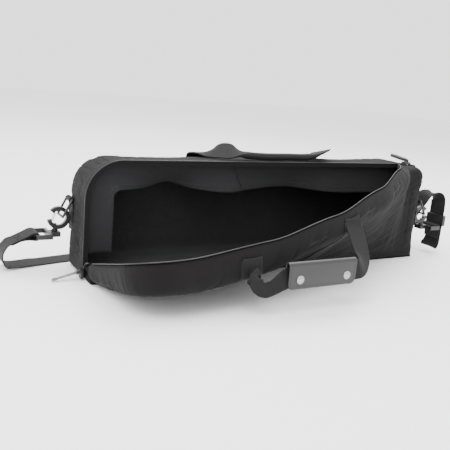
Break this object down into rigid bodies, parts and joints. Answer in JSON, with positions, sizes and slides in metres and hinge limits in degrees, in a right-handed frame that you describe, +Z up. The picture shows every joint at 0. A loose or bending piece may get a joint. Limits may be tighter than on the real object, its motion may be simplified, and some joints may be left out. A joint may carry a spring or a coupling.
{
  "type": "padded carry case",
  "caption": "Long padded carry case, opened by a zip round its mouth, with a fold-down lid, two webbing handles and a clip-on shoulder strap.",
  "frame": {"origin": "on the bottom face at mid length, in the plane of the zipped mouth", "axes": "+X along the case towards the end where the lid stays closed, +Y from the mouth to the back panel, +Z up"},
  "size_m": [0.9007, 0.3768, 0.2055],
  "materials": {
    "shell_fabric": "matte woven nylon with a dull coating",
    "foam": "closed-cell foam, matt",
    "lining": "thin plain-weave lining",
    "flap_fabric": "smooth grey coated fabric",
    "webbing": "ribbed nylon webbing",
    "zip": "woven zip tape with a nylon coil",
    "tag": "woven orange label with no print",
    "moulded_plastic": "moulded acetal, fine satin",
    "slider_metal": "dark lacquered zinc, worn at the edges",
    "pull_metal": "nickel-plated, lightly scratched",
    "pull_rubber": "soft moulded rubber, satin",
    "wrap": "smooth synthetic leather, satin",
    "snap_metal": "polished nickel",
    "gate_wire": "bright spring wire"
  },
  "bodies": {
    "shell": {"back_panel": "shell_fabric", "top_gusset": "shell_fabric", "bottom_panel": "shell_fabric", "right_end_panel": "shell_fabric", "front_fixed_panel": "shell_fabric", "back_foam": "foam", "top_foam": "foam", "left_end_foam": "foam", "bottom_foam": "foam", "right_end_foam": "foam", "tray_lining": "lining", "zip_guard_flap": "flap_fabric", "tray_zip": "zip", "zip_end_tab": "webbing", "back_handle_bands": "webbing", "left_ring_tab": "webbing", "right_ring_tab": "webbing", "left_hook_base": "moulded_plastic", "right_hook_base": "moulded_plastic", "strap_left_loop": "webbing", "strap_floor_run": "webbing", "strap_right_loop": "webbing", "strap_tag": "tag"},
    "lid_1": {"lid_panel_1": "shell_fabric", "lid_padding_1": "foam", "lid_zip_1": "zip"},
    "lid_2": {"lid_panel_2": "shell_fabric", "lid_padding_2": "foam", "lid_zip_2": "zip"},
    "lid_3": {"lid_panel_3": "shell_fabric", "lid_padding_3": "foam", "lid_zip_3": "zip"},
    "lid_4": {"lid_panel_4": "shell_fabric", "lid_padding_4": "foam", "lid_zip_4": "zip"},
    "lid_5": {"lid_panel_5": "shell_fabric", "lid_padding_5": "foam", "lid_zip_5": "zip"},
    "lid_end": {"lid_end_panel": "shell_fabric", "lid_end_padding": "foam", "lid_end_zip": "zip"},
    "corner_slider": {"corner_slider": "slider_metal"},
    "metal_pull": {"metal_pull": "pull_metal"},
    "rim_slider": {"rim_slider": "slider_metal"},
    "rubber_pull": {"rubber_pull": "pull_rubber"},
    "back_handle": {"back_handle": "webbing"},
    "front_handle": {"front_handle": "webbing", "grip_wrap": "wrap"},
    "grip_flap": {"grip_flap": "wrap", "snap_caps": "snap_metal"},
    "left_ring": {"left_ring": "moulded_plastic"},
    "left_hook": {"left_hook": "moulded_plastic"},
    "left_gate": {"left_gate": "gate_wire"},
    "right_ring": {"right_ring": "moulded_plastic"},
    "right_hook": {"right_hook": "moulded_plastic"},
    "right_gate": {"right_gate": "gate_wire"},
    "tri_glide": {"tri_glide": "moulded_plastic"}
  },
  "joints": [
    {"name": "lid_fold", "type": "hinge", "parent": "shell", "child": "lid_end", "pos_m": [0, -0.037, 0.0045], "axis": [1, 0, 0], "range_deg": [-73.3, 0]},
    {"name": "lid_bend_1", "type": "hinge", "parent": "shell", "child": "lid_1", "pos_m": [0, -0.037, 0.0045], "axis": [1, 0, 0], "range_deg": [-18.91, 0]},
    {"name": "lid_bend_2", "type": "hinge", "parent": "lid_1", "child": "lid_2", "pos_m": [0, -0.037, 0.0045], "axis": [1, 0, 0], "range_deg": [-21.71, 0]},
    {"name": "lid_bend_3", "type": "hinge", "parent": "lid_2", "child": "lid_3", "pos_m": [0, -0.037, 0.0045], "axis": [1, 0, 0], "range_deg": [-15.91, 0]},
    {"name": "lid_bend_4", "type": "hinge", "parent": "lid_3", "child": "lid_4", "pos_m": [0, -0.037, 0.0045], "axis": [1, 0, 0], "range_deg": [-11.01, 0]},
    {"name": "lid_bend_5", "type": "hinge", "parent": "lid_4", "child": "lid_5", "pos_m": [0, -0.037, 0.0045], "axis": [1, 0, 0], "range_deg": [-5.81, 0]},
    {"name": "rim_slide", "type": "slide", "parent": "shell", "child": "rim_slider", "axis": [-1, 0, 0], "range_m": [0, 0.1105]},
    {"name": "corner_slide", "type": "slide", "parent": "shell", "child": "corner_slider", "axis": [0, 0, 1], "range_m": [0, 0.1005]},
    {"name": "metal_pull_flip", "type": "hinge", "parent": "corner_slider", "child": "metal_pull", "pos_m": [-0.359, -0.006, 0.013], "axis": [0, 1, 0], "range_deg": [0, 80]},
    {"name": "rubber_pull_flip", "type": "hinge", "parent": "rim_slider", "child": "rubber_pull", "pos_m": [0.322, -0.006, 0.1984], "axis": [1, 0, 0], "range_deg": [0, 150]},
    {"name": "back_handle_swing", "type": "hinge", "parent": "shell", "child": "back_handle", "pos_m": [0, 0.087, 0.1895], "axis": [1, 0, 0], "range_deg": [-235, 0]},
    {"name": "front_handle_swing", "type": "hinge", "parent": "lid_3", "child": "front_handle", "pos_m": [0, -0.206, 0.093], "axis": [1, 0, 0], "range_deg": [-110, 0]},
    {"name": "grip_flap_lift", "type": "hinge", "parent": "front_handle", "child": "grip_flap", "pos_m": [0, -0.2405, 0.081], "axis": [1, 0, 0], "range_deg": [-120, 0]},
    {"name": "left_ring_swing", "type": "hinge", "parent": "shell", "child": "left_ring", "pos_m": [-0.355, 0.06, 0.117], "axis": [0, 1, 0], "range_deg": [0, 5]},
    {"name": "left_hook_swivel", "type": "hinge", "parent": "shell", "child": "left_hook", "pos_m": [-0.378, 0.06, 0.06], "axis": [0, 0, 1], "range_deg": [-15, 15]},
    {"name": "left_gate_press", "type": "hinge", "parent": "left_hook", "child": "left_gate", "pos_m": [-0.38185, 0.06, 0.08336], "axis": [0, 1, 0], "range_deg": [0, 20], "stiffness_Nm_per_rad": 0.02, "springref_deg": -17.19},
    {"name": "right_ring_swing", "type": "hinge", "parent": "shell", "child": "right_ring", "pos_m": [0.355, -0.018, 0.117], "axis": [0, -1, 0], "range_deg": [0, 5]},
    {"name": "right_hook_swivel", "type": "hinge", "parent": "shell", "child": "right_hook", "pos_m": [0.38, -0.018, 0.06], "axis": [0, 0, 1], "range_deg": [-15, 15]},
    {"name": "right_gate_press", "type": "hinge", "parent": "right_hook", "child": "right_gate", "pos_m": [0.38385, -0.018, 0.08336], "axis": [0, -1, 0], "range_deg": [0, 20], "stiffness_Nm_per_rad": 0.02, "springref_deg": -17.19},
    {"name": "glide_slide", "type": "slide", "parent": "shell", "child": "tri_glide", "axis": [0.0765, 0.0765, 0.9941], "range_m": [0, 0.022]}
  ],
  "couplings": [
    {"joint": "lid_bend_1", "follows": "lid_fold", "ratio": 0.25784},
    {"joint": "lid_bend_2", "follows": "lid_fold", "ratio": 0.29604},
    {"joint": "lid_bend_3", "follows": "lid_fold", "ratio": 0.21692},
    {"joint": "lid_bend_4", "follows": "lid_fold", "ratio": 0.15007},
    {"joint": "lid_bend_5", "follows": "lid_fold", "ratio": 0.079127},
    {"joint": "rim_slide", "follows": "lid_fold", "m_per_rad": -0.085983},
    {"joint": "corner_slide", "follows": "lid_fold", "m_per_rad": -0.078166}
  ]
}
